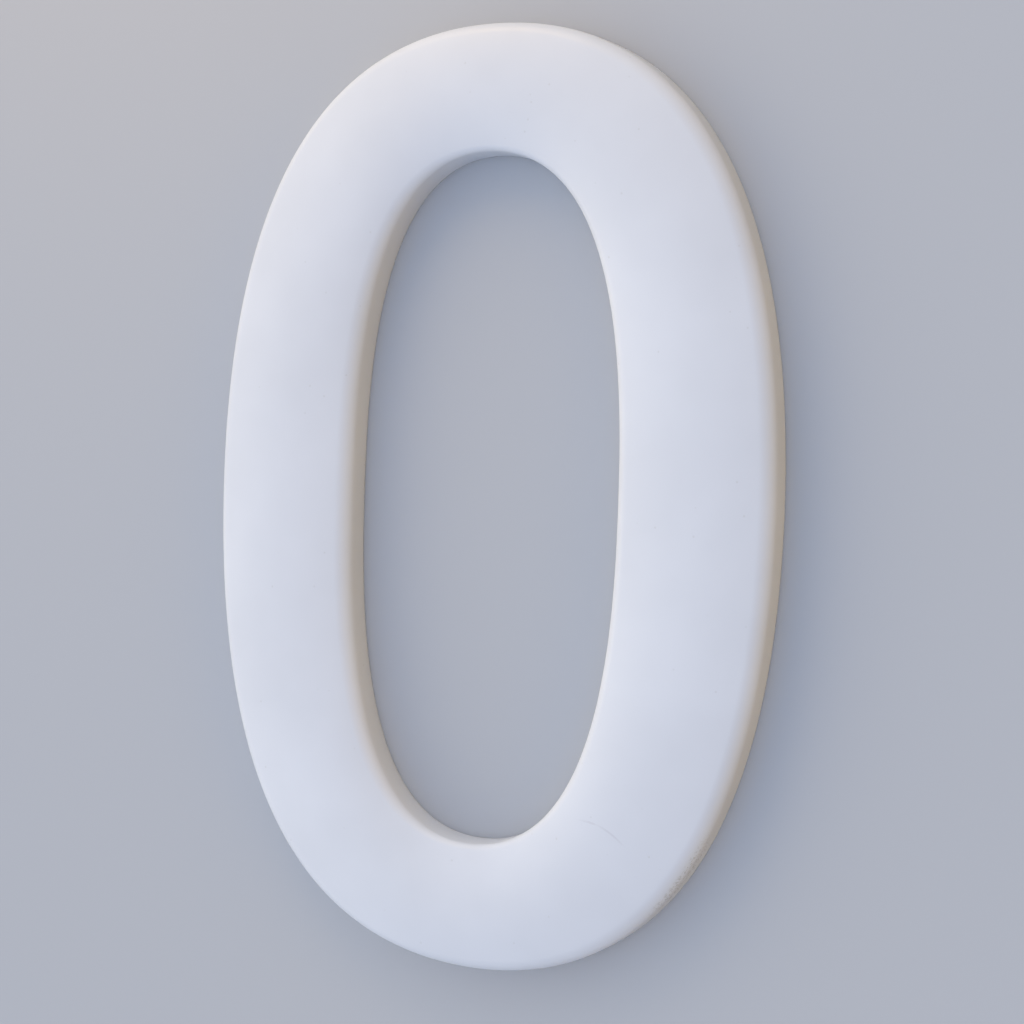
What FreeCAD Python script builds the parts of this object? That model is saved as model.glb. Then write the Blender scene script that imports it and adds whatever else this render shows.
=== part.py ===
import FreeCAD, Part
import os

import Sketcher

# House number digit 0: one moulded piece of white plastic, fixed by its flat back.
# Frame: the back lies on the plane y = 0, the face looks along -y, +z is up, and the
# origin is the middle of the back. Lengths are millimetres, angles are degrees.

# Driving sizes: alias, value, what it is
SIZES = [
    ("digit_height", 100.0, "height of the digit, measured at its back"),
    ("digit_width", 65.6, "width of the digit, measured at its back"),
    ("side_stroke", 16.3, "width of the two flanks at the back"),
    ("end_stroke", 13.3, "height of the top and bottom bends at the back"),
    ("thickness", 4.8, "from the back to the crest of the crowned face"),
    ("crown_rise", 1.2, "from the edges of the face up to its crest"),
    ("wall_draft", 1.5, "lean of the side walls, so that the piece leaves its mould"),
    ("edge_radius", 0.5, "rounding where a side wall meets the face"),
    ("outer_flank_fullness", 0.82, "outer outline, upright handle over half the height"),
    ("outer_end_fullness", 0.465, "outer outline, level handle over half the width"),
    ("counter_flank_fullness", 0.31, "counter, upright handle over half the height"),
    ("counter_end_fullness", 0.985, "counter, level handle over half the width"),
]

# How close two heights must be to count as one
ON_LEVEL = 0.001

os.makedirs("parts", exist_ok=True)
doc = FreeCAD.newDocument("house_number_digit")

sheet = doc.addObject("Spreadsheet::Sheet", "sizes")
for row, (alias, value, meaning) in enumerate(SIZES, start=1):
    sheet.set(f"A{row}", alias)
    sheet.set(f"B{row}", str(value))
    sheet.set(f"C{row}", meaning)
    sheet.setAlias(f"B{row}", alias)
doc.recompute()

# Sizes that follow from the driving ones, as expressions on the sheet
WALL_HEIGHT = "(sizes.thickness - sizes.crown_rise)"
SHOULDER_HEIGHT = "(sizes.thickness - sizes.crown_rise / 4)"
DRAFT_INSET = f"({WALL_HEIGHT} * tan(sizes.wall_draft * 1 deg))"


# Outlines
# Both outlines of the digit are drawn as a letter cutter draws them: four curves, one per
# quarter, that meet at the middles of the flanks and of the bends. Each curve has a handle
# at either end, square to the axes, and the handles' lengths say how full the curve is.
# An outline is given by four expressions: half its width, half its height, the upright
# handle at the flank and the level handle at the bend.
def outer_outline(inset):
    half_width = f"(sizes.digit_width / 2 - {inset})"
    half_height = f"(sizes.digit_height / 2 - {inset})"
    flank_handle = f"(sizes.outer_flank_fullness * {half_height})"
    end_handle = f"(sizes.outer_end_fullness * {half_width})"
    return half_width, half_height, flank_handle, end_handle


def counter_outline(outset):
    half_width = f"(sizes.digit_width / 2 - sizes.side_stroke + {outset})"
    half_height = f"(sizes.digit_height / 2 - sizes.end_stroke + {outset})"
    flank_handle = f"(sizes.counter_flank_fullness * {half_height})"
    end_handle = f"(sizes.counter_end_fullness * {half_width})"
    return half_width, half_height, flank_handle, end_handle


def between(one, other, share):
    """The outline that lies a share of the way from one outline to another."""
    return tuple(f"({a} + ({b} - {a}) * {share})" for a, b in zip(one, other))


# Body and its sketches
body = doc.addObject("PartDesign::Body", "digit_zero")
body.Label = "digit_zero"
back_plane = next(f for f in body.Origin.OriginFeatures if f.Role == "XZ_Plane")

# How a sketch numbers its two axes, and the places on one of its lines
X_AXIS, Z_AXIS = range(-1, -3, -1)
WHOLE, START, END, CENTRE = range(4)
ORIGIN = (X_AXIS, START)
RIGHT_TOP, LEFT_TOP, LEFT_BOTTOM, RIGHT_BOTTOM = range(4)
QUARTER_SIGNS = ((1, 1), (-1, 1), (-1, -1), (1, -1))


def outline_sketch(name, height, outline):
    """A closed outline on a plane that lies height above the back, towards the viewer."""
    sketch = body.newObject("Sketcher::SketchObject", name)
    sketch.AttachmentSupport = [(back_plane, "")]
    sketch.MapMode = "FlatFace"
    sketch.setExpression("AttachmentOffset.Base.z", height)

    # the quarters are first drawn near their places, and the constraints set the true ones
    rough_width = sheet.get("digit_width") / 2
    rough_height = sheet.get("digit_height") / 2
    rough_flank = rough_height / 2
    rough_end = rough_width / 2
    for right, up in QUARTER_SIGNS:
        poles = [
            FreeCAD.Vector(rough_width * right, 0, 0),
            FreeCAD.Vector(rough_width * right, rough_flank * up, 0),
            FreeCAD.Vector(rough_end * right, rough_height * up, 0),
            FreeCAD.Vector(0, rough_height * up, 0),
        ]
        curve = Part.BSplineCurve(poles, None, None, False, 3, None, False)
        sketch.addGeometry(curve, False)

    # each control point is the centre of a small construction circle
    first_circle = []
    for quarter in range(len(QUARTER_SIGNS)):
        first_circle.append(sketch.GeometryCount)
        sketch.exposeInternalGeometry(quarter)

    def pole(quarter, number):
        return first_circle[quarter] + number, CENTRE

    def constrain(kind, *places):
        return sketch.addConstraint(Sketcher.Constraint(kind, *places))

    # one quarter has its ends on the axes and its handles square to them
    constrain("PointOnObject", *pole(RIGHT_TOP, 0), X_AXIS)
    constrain("Vertical", *pole(RIGHT_TOP, 0), *pole(RIGHT_TOP, 1))
    constrain("Horizontal", *pole(RIGHT_TOP, 2), *pole(RIGHT_TOP, 3))
    constrain("PointOnObject", *pole(RIGHT_TOP, 3), Z_AXIS)

    # the other three mirror it
    for number in (0, 1, 2):
        constrain("Symmetric", *pole(RIGHT_TOP, number), *pole(LEFT_TOP, number), Z_AXIS)
    constrain("Coincident", *pole(RIGHT_TOP, 3), *pole(LEFT_TOP, 3))
    for upper, lower in ((LEFT_TOP, LEFT_BOTTOM), (RIGHT_TOP, RIGHT_BOTTOM)):
        constrain("Coincident", *pole(upper, 0), *pole(lower, 0))
        for number in (1, 2, 3):
            constrain("Symmetric", *pole(upper, number), *pole(lower, number), X_AXIS)

    half_width, half_height, flank_handle, end_handle = outline
    for label, kind, number, rough, size in (
        ("half_width", "DistanceX", 0, rough_width, half_width),
        ("half_height", "DistanceY", 3, rough_height, half_height),
        ("flank_handle", "DistanceY", 1, rough_flank, flank_handle),
        ("end_handle", "DistanceX", 2, rough_end, end_handle),
    ):
        index = constrain(kind, *ORIGIN, *pole(RIGHT_TOP, number), rough)
        sketch.renameConstraint(index, label)
        sketch.setExpression(f"Constraints.{label}", size)
    return sketch


# The face starts inside the back's outer outline and outside its counter, by the draft
outer_on_face = outer_outline(DRAFT_INSET)
counter_on_face = counter_outline(DRAFT_INSET)

back_outer = outline_sketch("back_outer", "0", outer_outline("0"))
back_counter = outline_sketch("back_counter", "0", counter_outline("0"))
face_outer = outline_sketch("face_outer", WALL_HEIGHT, outer_on_face)
face_counter = outline_sketch("face_counter", WALL_HEIGHT, counter_on_face)

# The crest runs along the middle of the stroke. Half way up to it from either edge of the
# face lies a shoulder: an arch has three quarters of its rise there.
crest_outline = between(outer_on_face, counter_on_face, "1 / 2")
outer_shoulder = outline_sketch(
    "outer_shoulder", SHOULDER_HEIGHT, between(outer_on_face, crest_outline, "1 / 2")
)
counter_shoulder = outline_sketch(
    "counter_shoulder", SHOULDER_HEIGHT, between(counter_on_face, crest_outline, "1 / 2")
)
crest = outline_sketch("crest", "sizes.thickness", crest_outline)
doc.recompute()


# Solid
def loft(kind, name, outlines, ruled):
    feature = body.newObject(f"PartDesign::{kind}", name)
    feature.Profile = outlines[0]
    feature.Sections = outlines[1:]
    feature.Ruled = ruled
    doc.recompute()
    print(f"{name}: volume {feature.Shape.Volume:.1f} mm3")
    return feature


# The outside: a block with drafted walls, and on it the outer half of the crowned face, which
# rises from the block's edge to the crest in a low arch
loft("AdditiveLoft", "outer_wall", [back_outer, face_outer], True)
loft("AdditiveLoft", "outer_crown", [face_outer, outer_shoulder, crest], False)

# The inside: the face sinks from the crest to the counter's edge in the same arch, and the
# counter is cut through from there, narrower at the back
loft("SubtractiveLoft", "inner_crown", [crest, counter_shoulder, face_counter], False)
counter_wall = loft("SubtractiveLoft", "counter_wall", [face_counter, back_counter], True)


def on_face_edge(edge):
    level = sheet.get("thickness") - sheet.get("crown_rise")
    middle = edge.valueAt((edge.FirstParameter + edge.LastParameter) / 2)
    points = [vertex.Point for vertex in edge.Vertexes] + [middle]
    return all(abs(-point.y - level) < ON_LEVEL for point in points)


# The edges of the face are rolled over, outside and round the counter
edges = [f"Edge{n}" for n, edge in enumerate(counter_wall.Shape.Edges, start=1) if on_face_edge(edge)]
rolled_edges = body.newObject("PartDesign::Fillet", "rolled_edges")
rolled_edges.Base = (counter_wall, edges)
rolled_edges.setExpression("Radius", "sizes.edge_radius")
body.Tip = rolled_edges
doc.recompute()
print(f"rolled_edges: {len(edges)} edges, volume {rolled_edges.Shape.Volume:.1f} mm3")

# Checks and export
for item in doc.Objects:
    if "Invalid" in item.State or "Error" in item.State:
        raise RuntimeError(f"{item.Label} failed: {item.State}")

NODES = [body]
for node in NODES:
    shape = node.Shape
    if shape.isNull() or not shape.isValid():
        raise RuntimeError(f"{node.Label} has no valid shape")
    box = shape.optimalBoundingBox()
    if abs(box.YLength - sheet.get("thickness")) > ON_LEVEL:
        raise RuntimeError(f"{node.Label} is {box.YLength:.3f} mm thick")
    shape.exportStep(f"parts/{node.Label}.step")
    print(
        f"{node.Label}: {len(shape.Solids)} solid, {len(shape.Faces)} faces,"
        f" {box.XLength:.2f} x {box.YLength:.2f} x {box.ZLength:.2f} mm,"
        f" volume {shape.Volume:.1f} mm3"
    )
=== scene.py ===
# %% [markdown]
# # The digit 0 of a house number
# The object is one moulding of white plastic: an upright oval ring, 100 mm high, with a low crown
# across its face, rolled edges and a flat back that is stuck to a wall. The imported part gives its
# place and its box. Everything that is added here is in metres, in that same frame: the back lies
# on the plane y = 0, the face looks along -y, and z is up.

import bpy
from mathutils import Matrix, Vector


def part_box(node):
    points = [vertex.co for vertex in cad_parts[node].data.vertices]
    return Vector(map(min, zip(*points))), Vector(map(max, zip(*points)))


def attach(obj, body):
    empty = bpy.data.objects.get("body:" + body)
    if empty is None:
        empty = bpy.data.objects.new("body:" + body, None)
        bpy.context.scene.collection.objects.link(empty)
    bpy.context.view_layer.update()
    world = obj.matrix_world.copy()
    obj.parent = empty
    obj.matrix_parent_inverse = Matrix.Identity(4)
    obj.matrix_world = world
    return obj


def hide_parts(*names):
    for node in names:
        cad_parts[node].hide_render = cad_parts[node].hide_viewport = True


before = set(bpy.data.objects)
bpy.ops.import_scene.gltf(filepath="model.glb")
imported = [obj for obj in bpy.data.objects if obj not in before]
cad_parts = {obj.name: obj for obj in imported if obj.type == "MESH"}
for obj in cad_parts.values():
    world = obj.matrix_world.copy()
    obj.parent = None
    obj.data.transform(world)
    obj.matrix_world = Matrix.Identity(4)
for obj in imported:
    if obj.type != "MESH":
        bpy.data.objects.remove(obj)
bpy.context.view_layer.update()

import math

import bpy
import numpy as np
from mathutils import Matrix, Vector

MM = 0.001
low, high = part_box("digit_zero")
width, thickness, height = (high - low) / MM
print(f"the digit is {width:.1f} mm wide, {thickness:.1f} mm deep and {height:.1f} mm high")

# %% [markdown]
# ## The two outlines
# A letter cutter draws a round digit as four curves, one for each quarter, that meet at the
# middles of the flanks and of the bends. Each is a cubic curve with an upright handle at one end
# and a level handle at the other, so the whole line is smooth. Blender could trace such a line as
# a Bezier curve, but the shape is wanted as a fine net of points, so the formula of the curve is
# used directly. One function gives the points and the directions square to the line. The stroke
# is drawn as wide as the photograph shows it, 0.7 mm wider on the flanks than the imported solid.

# %% A quarter, and the line that its four copies make
SIDE_STROKE = 17.0
END_STROKE = 13.55
STEPS_PER_QUARTER = 128

# the upright handle over half the height, and the level handle over half the width
OUTER_FULLNESS = (0.82, 0.465)
COUNTER_FULLNESS = (0.31, 0.985)


def quarter(half_width, half_height, fullness):
    """The points of a quarter, from flank to bend, and the directions square to it."""
    upright, level = fullness
    poles = np.array([
        (half_width, 0),
        (half_width, upright * half_height),
        (level * half_width, half_height),
        (0, half_height),
    ])
    t = np.linspace(0, 1, STEPS_PER_QUARTER + 1)[:, None]
    weights = np.hstack([(1 - t) ** 3, 3 * (1 - t) ** 2 * t, 3 * (1 - t) * t ** 2, t ** 3])
    slopes = np.hstack([(1 - t) ** 2, 2 * (1 - t) * t, t ** 2])
    run = slopes @ np.diff(poles, axis=0)
    square = np.stack([run[:, 1], -run[:, 0]], axis=1)
    return weights @ poles, square / np.linalg.norm(square, axis=1)[:, None]


def closed_line(line):
    """The four mirrored copies of a quarter, one after another round the digit."""
    left, down = np.array([-1, 1]), np.array([1, -1])
    copies = [line[:-1], (line * left)[:0:-1], (line * left * down)[:-1], (line * down)[:0:-1]]
    return np.concatenate(copies)


def outline(half_width, half_height, fullness):
    points, square = quarter(half_width, half_height, fullness)
    return closed_line(points), closed_line(square)


print(f"the stroke is {SIDE_STROKE} mm wide on the flanks and {END_STROKE} mm in the bends")

# %% [markdown]
# ## The section of the stroke
# The mould gives the piece side walls that lean in a little, so that it comes out, and a face
# that rises in one low arch between its two edges. Where wall and face meet, the edge is rolled
# over. A Bevel modifier could round a sharp net, but its rows would run into those of the crown.
# Here each edge gets a circle that touches the wall and the arch, worked out at every station
# along the line, so that the light runs over the edge without a crease. The photograph shows the
# edge of the counter tighter in its narrow bends than on its flanks, so its circle varies.

# %% Walls, crown and rolled edges
CROWN_RISE = 1.2
WALL_DRAFT = math.radians(1.5)
EDGE_ROLL = 1.8
BEND_ROLL = 0.9
BACK_RIM = 0.15
WALL_HEIGHT = thickness - CROWN_RISE
DRAFT_INSET = WALL_HEIGHT * math.tan(WALL_DRAFT)

RIM_ROWS = 4
WALL_ROWS = 5
ROLL_ROWS = 19
TOUCH_ROUNDS = 6

half_width, half_height = width / 2, height / 2
outer_line, outer_square = outline(
    half_width - DRAFT_INSET, half_height - DRAFT_INSET, OUTER_FULLNESS
)
counter_line, counter_square = outline(
    half_width - SIDE_STROKE + DRAFT_INSET,
    half_height - END_STROKE + DRAFT_INSET,
    COUNTER_FULLNESS,
)


def crown_height(share):
    """Height of the face above the wall, by its share of the way across the stroke."""
    return CROWN_RISE * (1 - (1 - 2 * share) ** 2)


def edge_rows(line, inwards, across, roll):
    """Rows of points from the back over the wall and the rolled edge to the crown.

    inwards points from the edge into the stroke, across is the stroke's width that way, and
    roll is the radius of the rolled edge. A row is its points and their heights, one for every
    station of the line. With the rows comes the share of the stroke at which the crown starts.
    """
    # the circle's centre follows from the slope where it touches the crown, and that place
    # follows from the centre, so both are worked out in turn until they settle
    touch = roll
    for _ in range(TOUCH_ROUNDS):
        share = touch / across
        slope = np.arctan(4 * CROWN_RISE * (1 - 2 * share) / across)
        centre_height = WALL_HEIGHT + crown_height(share) - roll * np.cos(slope)
        lean = math.sin(WALL_DRAFT) * (centre_height - WALL_HEIGHT)
        centre_distance = (roll + lean) / math.cos(WALL_DRAFT)
        touch = centre_distance - roll * np.sin(slope)

    # a hair of rounding at the back, then the wall, then the rolled edge
    rows = []
    foot = -math.tan(WALL_DRAFT) * WALL_HEIGHT
    for turn in np.linspace(math.pi / 2, 0, RIM_ROWS + 1)[:-1]:
        rows.append((
            np.full(len(line), foot + BACK_RIM * (1 - math.cos(turn))),
            np.full(len(line), BACK_RIM * (1 - math.sin(turn))),
        ))
    start_distance = centre_distance - roll * math.cos(WALL_DRAFT)
    start_height = centre_height + roll * math.sin(WALL_DRAFT)
    for part in np.linspace(0, 1, WALL_ROWS + 1)[:-1]:
        rows.append((
            foot + (start_distance - foot) * part,
            BACK_RIM + (start_height - BACK_RIM) * part,
        ))
    for part in np.linspace(0, 1, ROLL_ROWS):
        turn = WALL_DRAFT + (math.pi / 2 - slope - WALL_DRAFT) * part
        rows.append((
            centre_distance - roll * np.cos(turn),
            centre_height + roll * np.sin(turn),
        ))
    placed = [(line + inwards * distance[:, None], up) for distance, up in rows]
    return placed, share


across_outer = np.sum((counter_line - outer_line) * -outer_square, axis=1)
across_counter = np.sum((outer_line - counter_line) * counter_square, axis=1)
outer_roll = np.full(len(outer_line), EDGE_ROLL)
counter_roll = BEND_ROLL + (EDGE_ROLL - BEND_ROLL) * counter_square[:, 0] ** 2
outer_rows, outer_share = edge_rows(outer_line, -outer_square, across_outer, outer_roll)
counter_rows, counter_share = edge_rows(
    counter_line, counter_square, across_counter, counter_roll
)
print(f"the edges are rolled over {EDGE_ROLL} mm, and {BEND_ROLL} mm in the counter's bends")

# %% [markdown]
# ## The net
# The crown's rows run between the two rolled edges. They lie closer together near the edges,
# where the light changes most. The back is flat and plain. All rows are joined into one closed
# skin of quads, which is what a moulding is: one piece with no inside faces.

# %% One closed skin
CROWN_ROWS = 30
BACK_ROWS = 6

rows = list(outer_rows)
outer_touch, _ = outer_rows[-1]
counter_touch, _ = counter_rows[-1]
for turn in np.linspace(0, math.pi, CROWN_ROWS + 2)[1:-1]:
    part = (1 - math.cos(turn)) / 2
    share = outer_share + (1 - counter_share - outer_share) * part
    rows.append((
        outer_touch + (counter_touch - outer_touch) * part,
        WALL_HEIGHT + crown_height(share),
    ))
rows += counter_rows[::-1]
outer_foot, _ = outer_rows[0]
counter_foot, _ = counter_rows[0]
for part in np.linspace(0, 1, BACK_ROWS + 2)[1:-1]:
    rows.append((counter_foot + (outer_foot - counter_foot) * part, np.zeros(len(outer_foot))))


def mesh_of_rows(name, rows, closed=False, capped=False):
    """A mesh of quads from rows of points, each row a closed ring of (x, z) points and heights.

    A closed mesh joins its last row to its first, and a capped one fills its last row.
    """
    stations = len(rows[0][0])
    points = [
        (x * MM, -up * MM, z * MM)
        for line, heights in rows
        for (x, z), up in zip(line, heights)
    ]
    faces = []
    for row in range(len(rows) if closed else len(rows) - 1):
        this, other = row * stations, (row + 1) % len(rows) * stations
        for station in range(stations):
            after = (station + 1) % stations
            faces.append((this + station, other + station, other + after, this + after))
    if capped:
        last = (len(rows) - 1) * stations
        faces.append([last + station for station in reversed(range(stations))])
    mesh = bpy.data.meshes.new(name)
    mesh.from_pydata(points, [], faces)
    return mesh


def add_object(name, data):
    piece = bpy.data.objects.new(name, data)
    bpy.context.scene.collection.objects.link(piece)
    return piece


digit = add_object("moulded_digit", mesh_of_rows("moulded_digit", rows, closed=True))
digit.data.shade_smooth()
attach(digit, "root")
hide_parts("digit_zero")
print(f"the digit has {len(digit.data.polygons)} quads")

# %% [markdown]
# ## Colours, nodes and scales
# A material is a tree of nodes, each with its options, values and links. One function adds a node
# with all three, so that the steps below read as a list of what the eye sees. Colours are written
# as a screen shows them, and a second function turns them into the linear values that Cycles
# reckons with. A third gives a pattern the scale at which its cells have their real size.

# %% Helpers for materials and light
def linear(colour):
    """An sRGB hex value as linear red, green and blue, with an alpha of one."""
    parts = [int(colour[start:start + 2], 16) / 255 for start in (1, 3, 5)]
    return [p / 12.92 if p <= 0.04045 else ((p + 0.055) / 1.055) ** 2.4 for p in parts] + [1.0]


def add(tree, kind, inputs=None, **settings):
    """Adds a node. Settings are its options, and inputs are values or sockets to link."""
    node = tree.nodes.new(kind)
    for name, value in settings.items():
        setattr(node, name, value)
    for name, value in (inputs or {}).items():
        if isinstance(value, bpy.types.NodeSocket):
            tree.links.new(value, node.inputs[name])
        else:
            node.inputs[name].default_value = value
    return node


def per_metre(size):
    """The scale of a pattern whose cells are size millimetres across."""
    return 1 / (size * MM)


# a Mix node has sockets for every kind of data, and these are the ones for colours
COLOUR_A, COLOUR_B, MIXED = 6, 7, 2
print("a middle grey of #808080 is linear", linear("#808080"))

# %% [markdown]
# ## White moulded plastic
# House digits like this one are moulded from ABS, a tough opaque plastic that is coloured all the
# way through. A satin mould leaves it neither matt nor glossy, with soft highlights. An image
# could be wrapped round it, but a pattern that is laid through the solid at its real size in
# millimetres needs no unwrapping. The first pattern is the cloudiness that handling leaves: the
# white drifts by a shade over patches of about a centimetre.

# %% The white
CLOUD_SIZE = 14
CLOUD_RANGE = (0.35, 0.65)
CLEAN_WHITE = "#E6E9F1"
CLOUDY_WHITE = "#E1E4EC"

plastic = bpy.data.materials.new("moulded_abs")
plastic.use_nodes = True
tree = plastic.node_tree
tree.nodes.clear()
place = add(tree, "ShaderNodeTexCoord").outputs["Object"]
clouds = add(tree, "ShaderNodeTexNoise", {
    "Vector": place, "Scale": per_metre(CLOUD_SIZE), "Detail": 3,
})
cloudy = add(tree, "ShaderNodeMapRange", {
    "Value": clouds.outputs["Fac"], "From Min": CLOUD_RANGE[0], "From Max": CLOUD_RANGE[1],
})
white = add(tree, "ShaderNodeMix", {
    "Factor": cloudy.outputs["Result"],
    COLOUR_A: linear(CLEAN_WHITE),
    COLOUR_B: linear(CLOUDY_WHITE),
}, data_type="RGBA")
print(f"the white drifts from {CLEAN_WHITE} to {CLOUDY_WHITE} over {CLOUD_SIZE} mm")

# %% [markdown]
# ## Dust
# Outdoors a few specks of dust catch in the plastic's grain. They are too flat to be objects. A
# Voronoi texture gives the distance to the nearest of many scattered points, and a speck lies
# where that distance is small. The function that fades a speck out also serves the wear below:
# it multiplies a share by one fade after another.

# %% Specks of a quarter of a millimetre, a few to the centimetre
DUST_SPACING = 2.2
DUST_SHARE = 0.16
DUST_COLOUR = "#A9A59C"

# from a speck's middle, over the spacing: how far it is full, and where it is gone
DUST_REACH = (0.03, 0.07)


def share_within(tree, share, *limits):
    """The share, faded by limits: each is a value, where it is full and where it is gone."""
    for value, full, gone in limits:
        fade = add(tree, "ShaderNodeMapRange", {
            "Value": value, "From Min": full, "From Max": gone, "To Min": 1.0, "To Max": 0.0,
        })
        share = add(tree, "ShaderNodeMath", {
            0: share, 1: fade.outputs["Result"],
        }, operation="MULTIPLY").outputs[0]
    return share


specks = add(tree, "ShaderNodeTexVoronoi", {"Vector": place, "Scale": per_metre(DUST_SPACING)})
dusty = add(tree, "ShaderNodeMix", {
    "Factor": share_within(tree, DUST_SHARE, (specks.outputs["Distance"], *DUST_REACH)),
    COLOUR_A: white.outputs[MIXED],
    COLOUR_B: linear(DUST_COLOUR),
}, data_type="RGBA")
print(f"dust lies in specks {DUST_SPACING} mm apart")

# %% [markdown]
# ## A hairline scratch
# Low on the right of the face is one fine, bent scratch. It is so shallow that it only shows as a
# thin line, a little greyer than the plastic, so it is coloured and not cut into the net. It is
# part of a circle: it lies where the distance from a centre is the radius. It fades out away from
# its own middle, and a noise breaks it, because a real scratch skips.

# %% Part of a circle, broken by a noise
SCRATCH_CENTRE = Vector((13.8, 0, -39.0)) * MM
SCRATCH_RADIUS = 6.86 * MM
SCRATCH_HALF_WIDTH = 0.1 * MM
SCRATCH_MIDDLE = Vector((16.4, 0, -32.6)) * MM
SCRATCH_REACH = (1.6 * MM, 3.0 * MM)
SCRATCH_SHARE = 0.32
SCRATCH_COLOUR = "#C6C6CF"
SKIP_SIZE = 1.1
SKIP_RANGE = (0.45, 0.65)

# the place without its depth, so that distances are those seen from the front
in_front = add(tree, "ShaderNodeVectorMath", {0: place, 1: (1, 0, 1)}, operation="MULTIPLY")
from_centre = add(tree, "ShaderNodeVectorMath", {
    0: in_front.outputs[0], 1: SCRATCH_CENTRE,
}, operation="DISTANCE")
from_middle = add(tree, "ShaderNodeVectorMath", {
    0: in_front.outputs[0], 1: SCRATCH_MIDDLE,
}, operation="DISTANCE")
on_circle = add(tree, "ShaderNodeMath", {
    0: from_centre.outputs["Value"], 1: SCRATCH_RADIUS, 2: SCRATCH_HALF_WIDTH,
}, operation="COMPARE")
skips = add(tree, "ShaderNodeTexNoise", {
    "Vector": place, "Scale": per_metre(SKIP_SIZE), "Detail": 1,
})
broken = share_within(
    tree,
    SCRATCH_SHARE,
    (from_middle.outputs["Value"], *SCRATCH_REACH),
    (skips.outputs["Fac"], *SKIP_RANGE),
)
scratch = add(tree, "ShaderNodeMath", {
    0: on_circle.outputs[0], 1: broken,
}, operation="MULTIPLY")
scratched = add(tree, "ShaderNodeMix", {
    "Factor": scratch.outputs[0],
    COLOUR_A: dusty.outputs[MIXED],
    COLOUR_B: linear(SCRATCH_COLOUR),
}, data_type="RGBA")
print(f"the scratch is bent with a radius of {SCRATCH_RADIUS / MM:.1f} mm")

# %% [markdown]
# ## Grit on the edge
# Beside the scratch, grit is rubbed into the outer rolled edge: dark specks, drawn out along it.
# They keep off the face, which is wiped clean, and off the foot of the wall, which nothing
# touches. A noise gives the specks. Its place is turned to lie along the edge there and squeezed,
# which draws the specks out, and two limits on the height above the back hold them to the edge.

# %% Dark specks, drawn out along the edge
GRIT_MIDDLE = Vector((24.3, 0, -37.2)) * MM
GRIT_REACH = (3.0 * MM, 6.0 * MM)
GRIT_TURN = math.radians(57)
GRIT_SQUEEZE = 0.4
GRIT_SIZE = 0.22
GRIT_RANGE = (0.41, 0.47)
GRIT_SHARE = 0.42
GRIT_COLOUR = "#8F8A80"

# depths along y, which is negative in front of the back: where it is full, and where gone
OFF_THE_FOOT = (-1.5 * MM, -0.5 * MM)
OFF_THE_FACE = (-2.9 * MM, -3.4 * MM)

along_edge = add(tree, "ShaderNodeMapping", {
    "Vector": place, "Rotation": (0, GRIT_TURN, 0), "Scale": (GRIT_SQUEEZE, 1, 1),
})
grit = add(tree, "ShaderNodeTexNoise", {
    "Vector": along_edge.outputs[0], "Scale": per_metre(GRIT_SIZE), "Detail": 2,
})
from_grit = add(tree, "ShaderNodeVectorMath", {
    0: in_front.outputs[0], 1: GRIT_MIDDLE,
}, operation="DISTANCE")
depth = add(tree, "ShaderNodeSeparateXYZ", {0: place}).outputs["Y"]
gritty = share_within(
    tree,
    GRIT_SHARE,
    (from_grit.outputs["Value"], *GRIT_REACH),
    (grit.outputs["Fac"], *GRIT_RANGE),
    (depth, *OFF_THE_FOOT),
    (depth, *OFF_THE_FACE),
)
worn = add(tree, "ShaderNodeMix", {
    "Factor": gritty,
    COLOUR_A: scratched.outputs[MIXED],
    COLOUR_B: linear(GRIT_COLOUR),
}, data_type="RGBA")
print(f"the grit's specks are about {GRIT_SIZE} mm wide")

# %% [markdown]
# ## Grain and sheen
# The mould is etched to a satin, and its grain comes out on the plastic. That grain is usually
# finer than a tenth of a millimetre, too fine to show here, so it is drawn a third of a
# millimetre wide and very shallow. To the eye it takes the edge off a highlight. The sheen also
# changes slowly from place to place, as on any moulding that has been handled.

# %% The surface
GRAIN_SIZE = 0.35
GRAIN_DEPTH = 0.002 * MM
GRAIN_STRENGTH = 0.6
SHEEN_SIZE = 6
SHEEN_RANGE = (0.3, 0.7)

# typical of satin ABS, and matched to the soft highlights in the photograph
ROUGHNESS = (0.36, 0.46)
ABS_IOR = 1.53

grain = add(tree, "ShaderNodeTexNoise", {
    "Vector": place, "Scale": per_metre(GRAIN_SIZE), "Detail": 2,
})
sheen = add(tree, "ShaderNodeTexNoise", {
    "Vector": place, "Scale": per_metre(SHEEN_SIZE), "Detail": 4,
})
roughness = add(tree, "ShaderNodeMapRange", {
    "Value": sheen.outputs["Fac"],
    "From Min": SHEEN_RANGE[0],
    "From Max": SHEEN_RANGE[1],
    "To Min": ROUGHNESS[0],
    "To Max": ROUGHNESS[1],
})
bump = add(tree, "ShaderNodeBump", {
    "Height": grain.outputs["Fac"], "Strength": GRAIN_STRENGTH, "Distance": GRAIN_DEPTH,
})
surface = add(tree, "ShaderNodeBsdfPrincipled", {
    "Base Color": worn.outputs[MIXED],
    "Roughness": roughness.outputs["Result"],
    "Normal": bump.outputs["Normal"],
    "IOR": ABS_IOR,
})
add(tree, "ShaderNodeOutputMaterial", {"Surface": surface.outputs["BSDF"]})
digit.data.materials.append(plastic)
print(f"{plastic.name} has {len(tree.nodes)} nodes and a roughness of {ROUGHNESS}")

# %% [markdown]
# ## The plain backdrop
# Wall and sky look like one plain pale backdrop to the camera, and to a gloss that mirrors them.
# A Light Path node tells such rays from the ones that carry light to the digit, so that the
# backdrop's colour, gloss aside, has no say in how the digit is lit.

# %% The rays that see the backdrop
BACKDROP = "#C3C5CA"


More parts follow.
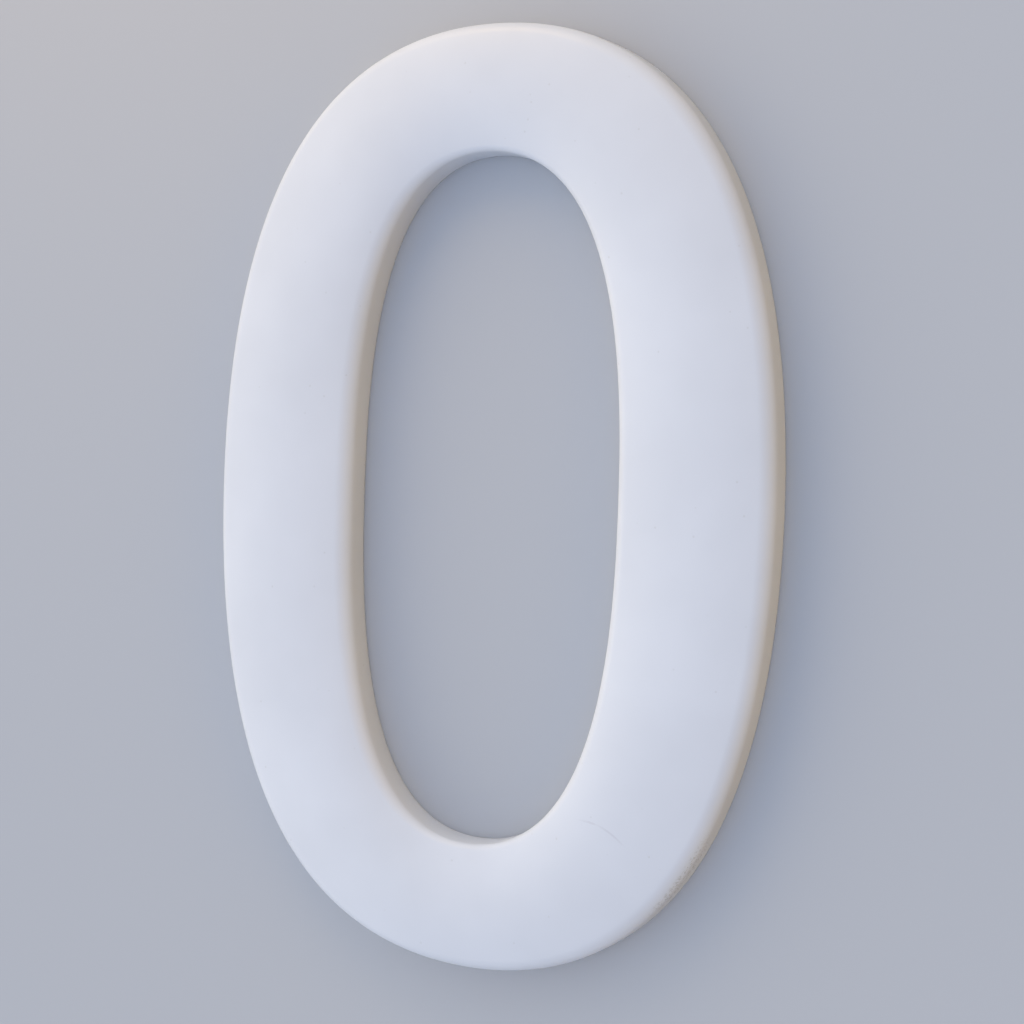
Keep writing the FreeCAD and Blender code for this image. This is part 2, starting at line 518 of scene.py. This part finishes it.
def sees_backdrop(tree):
    """1 for rays from the camera and for those that a gloss or a glass sends on, 0 for others."""
    rays = add(tree, "ShaderNodeLightPath")
    share = rays.outputs["Is Camera Ray"]
    for kind in ("Is Glossy Ray", "Is Transmission Ray"):
        share = add(tree, "ShaderNodeMath", {
            0: share, 1: rays.outputs[kind],
        }, operation="MAXIMUM").outputs[0]
    return share


print(f"the backdrop is {BACKDROP}")

# %% [markdown]
# ## The wall behind
# The digit hangs on a wall, so the stage is a plain pale wall and no floor. It lies just behind
# the back and catches the digit's shadow. Matt paint has no highlight, so a diffuse shader does
# for it. To rays that carry light it is dark, so that it throws none onto the digit's side
# walls. Seen from behind it is clear, and it has an opening where the digit covers it, so that
# the plain back can be looked at too. That takes two pieces: one round the digit, and one in
# its counter.

# %% The stage
WALL_GAP = 0.1
COVERED = 0.2
NEAR_RING = 60
WALL_RADIUS = 2000
UNSEEN_WALL = "#202020"

back_outer, back_outer_square = outline(half_width, half_height, OUTER_FULLNESS)
back_counter, back_counter_square = outline(
    half_width - SIDE_STROKE, half_height - END_STROKE, COUNTER_FULLNESS
)
around = back_outer - back_outer_square * COVERED
away = around / np.linalg.norm(around, axis=1)[:, None]
behind_back = np.full(len(around), -WALL_GAP)
outside = [
    (around, behind_back),
    (around + away * NEAR_RING, behind_back),
    (away * WALL_RADIUS, behind_back),
]
inner_edge = back_counter + back_counter_square * COVERED
inside = [(inner_edge, behind_back), (inner_edge / 2, behind_back)]

wall_paint = bpy.data.materials.new("matt_wall_paint")
wall_paint.use_nodes = True
tree = wall_paint.node_tree
tree.nodes.clear()
dark = add(tree, "ShaderNodeBsdfDiffuse", {"Color": linear(UNSEEN_WALL)})
pale = add(tree, "ShaderNodeBsdfDiffuse", {"Color": linear(BACKDROP)})
front = add(tree, "ShaderNodeMixShader", {
    0: sees_backdrop(tree), 1: dark.outputs[0], 2: pale.outputs[0],
})
side = add(tree, "ShaderNodeNewGeometry")
clear = add(tree, "ShaderNodeBsdfTransparent")
both_sides = add(tree, "ShaderNodeMixShader", {
    0: side.outputs["Backfacing"], 1: front.outputs[0], 2: clear.outputs[0],
})
add(tree, "ShaderNodeOutputMaterial", {"Surface": both_sides.outputs[0]})

for name, strips, capped in (
    ("wall_round_the_digit", outside, False),
    ("wall_in_the_counter", inside, True),
):
    wall = add_object(name, mesh_of_rows(name, strips, capped=capped))
    if wall.data.polygons[0].normal.y > 0:
        wall.data.flip_normals()
    wall.data.materials.append(wall_paint)
    print(f"{name} has {len(wall.data.polygons)} faces")

# %% [markdown]
# ## Light from the sky
# Nearly all light comes from an open sky, because nothing else lights a curved white face so
# evenly. It is cool ahead, bright on the left, and warm on the right. The crown turns its left
# edges to the bright side, and the walls on the right go warm and dim. Lamps could stand on the
# five sides, but the world's own nodes do it without a hard edge: each side's colour counts by
# the square of the direction's part along that axis.

# %% The sky
# strengths of linear red, green and blue, which may pass 1, so they aren't hex values
SKY_AHEAD = (0.447, 0.567, 0.800, 1)
SKY_BEHIND = (0.64, 0.68, 0.76, 1)
SKY_ASIDE = {
    ("X", -1.0): (3.48, 2.98, 2.12),
    ("X", 1.0): (1.70, 1.06, 0.16),
    ("Z", 1.0): (1.07, 1.39, 1.86),
    ("Z", -1.0): (0.49, 0.84, 1.39),
}

# the part of a direction along y at which the side colours start to give way, and are gone
AHEAD_RANGE = (0.25, 0.95)

world = bpy.data.worlds.new("open_sky")
bpy.context.scene.world = world
world.use_nodes = True
tree = world.node_tree
tree.nodes.clear()
direction = add(tree, "ShaderNodeTexCoord").outputs["Generated"]
axes = add(tree, "ShaderNodeSeparateXYZ", {0: direction})

aside = (0.0, 0.0, 0.0)
for (axis, sign), colour in SKY_ASIDE.items():
    toward = add(tree, "ShaderNodeMath", {
        0: axes.outputs[axis], 1: sign,
    }, operation="MULTIPLY", use_clamp=True)
    share = add(tree, "ShaderNodeMath", {0: toward.outputs[0], 1: 2.0}, operation="POWER")
    part = add(tree, "ShaderNodeVectorMath", {
        0: colour, "Scale": share.outputs[0],
    }, operation="SCALE")
    aside = add(tree, "ShaderNodeVectorMath", {0: aside, 1: part.outputs[0]}).outputs[0]

behind = add(tree, "ShaderNodeMath", {0: axes.outputs["Y"], 1: 0.0}, operation="GREATER_THAN")
facing = add(tree, "ShaderNodeMix", {
    "Factor": behind.outputs[0], COLOUR_A: SKY_AHEAD, COLOUR_B: SKY_BEHIND,
}, data_type="RGBA")
forward = add(tree, "ShaderNodeMath", {0: axes.outputs["Y"]}, operation="ABSOLUTE")
ahead = add(tree, "ShaderNodeMapRange", {
    "Value": forward.outputs[0], "From Min": AHEAD_RANGE[0], "From Max": AHEAD_RANGE[1],
}, interpolation_type="SMOOTHSTEP")
sky = add(tree, "ShaderNodeMix", {
    "Factor": ahead.outputs["Result"], COLOUR_A: aside, COLOUR_B: facing.outputs[MIXED],
}, data_type="RGBA")
light = add(tree, "ShaderNodeBackground", {"Color": sky.outputs[MIXED], "Strength": 1.0})
plain = add(tree, "ShaderNodeBackground", {"Color": linear(BACKDROP), "Strength": 1.0})
world_mix = add(tree, "ShaderNodeMixShader", {
    0: sees_backdrop(tree), 1: light.outputs[0], 2: plain.outputs[0],
})
add(tree, "ShaderNodeOutputWorld", {"Surface": world_mix.outputs[0]})
print(f"the sky has {len(SKY_ASIDE)} colours at its sides, one ahead and one behind")

# %% [markdown]
# ## A small lamp
# A sky is so far off that it can't light one end of the digit more than the other. In the
# photograph the top is a little brighter and warmer than the bottom, so one small warm lamp
# hangs close above it. It is a disk, so that its reflection in the satin face stays soft.

# %% The lamp
LAMP_PLACE = Vector((-60, -70, 170)) * MM
LAMP_WIDTH = 100 * MM
LAMP_WATTS = 0.070
LAMP_COLOUR = (1.0, 0.61, 0.14)

lamp_data = bpy.data.lights.new("warm_lamp", "AREA")
lamp_data.shape = "DISK"
lamp_data.size = LAMP_WIDTH
lamp_data.energy = LAMP_WATTS
lamp_data.color = LAMP_COLOUR
lamp = add_object("warm_lamp", lamp_data)
lamp.location = LAMP_PLACE
lamp.rotation_mode = "QUATERNION"
lamp.rotation_quaternion = LAMP_PLACE.to_track_quat("Z", "Y")
print(f"the lamp hangs {LAMP_PLACE.length / MM:.0f} mm from the middle of the digit")

# %% [markdown]
# ## The camera
# The photograph was taken close to the digit, from the viewer's right and a little above the
# middle, with the camera turned by two degrees. Its place and lens are those at which both
# outlines fall where they do in the photograph. The lens is known in pixels of that square
# picture, and Blender wants it in millimetres of its sensor.

# %% The place and the lens
AZIMUTH = math.radians(26.7)
ELEVATION = math.radians(2.54)
ROLL = math.radians(1.91)
DISTANCE = 207.0
ASIDE, UPWARD = 2.16, -1.35
LENS_IN_PIXELS = 1936
PICTURE_IN_PIXELS = 1024
SENSOR = 36
NEAR_CLIP = 10 * MM

back = Vector((
    math.sin(AZIMUTH) * math.cos(ELEVATION),
    -math.cos(AZIMUTH) * math.cos(ELEVATION),
    math.sin(ELEVATION),
))
right = Vector((math.cos(AZIMUTH), math.sin(AZIMUTH), 0))
up = back.cross(right)
rolled_right = right * math.cos(ROLL) + up * math.sin(ROLL)
rolled_up = up * math.cos(ROLL) - right * math.sin(ROLL)
eye = (back * DISTANCE + rolled_right * ASIDE + rolled_up * UPWARD) * MM

camera_data = bpy.data.cameras.new("camera")
camera_data.sensor_width = SENSOR
camera_data.lens = LENS_IN_PIXELS / PICTURE_IN_PIXELS * SENSOR
camera_data.clip_start = NEAR_CLIP
camera = add_object("camera", camera_data)
turn = Matrix((rolled_right, rolled_up, back)).transposed()
camera.matrix_world = Matrix.Translation(eye) @ turn.to_4x4()
bpy.context.scene.camera = camera
bpy.context.scene.view_settings.view_transform = "Standard"
print(f"the camera is {DISTANCE:.0f} mm away, with a lens of {camera_data.lens:.1f} mm")

# %% [markdown]
# ## Finish
# The scene is brought up to date, so that every object stands where it was put. The dressed
# digit has to stay inside the imported part's box.

# %% Finish
bpy.context.view_layer.update()
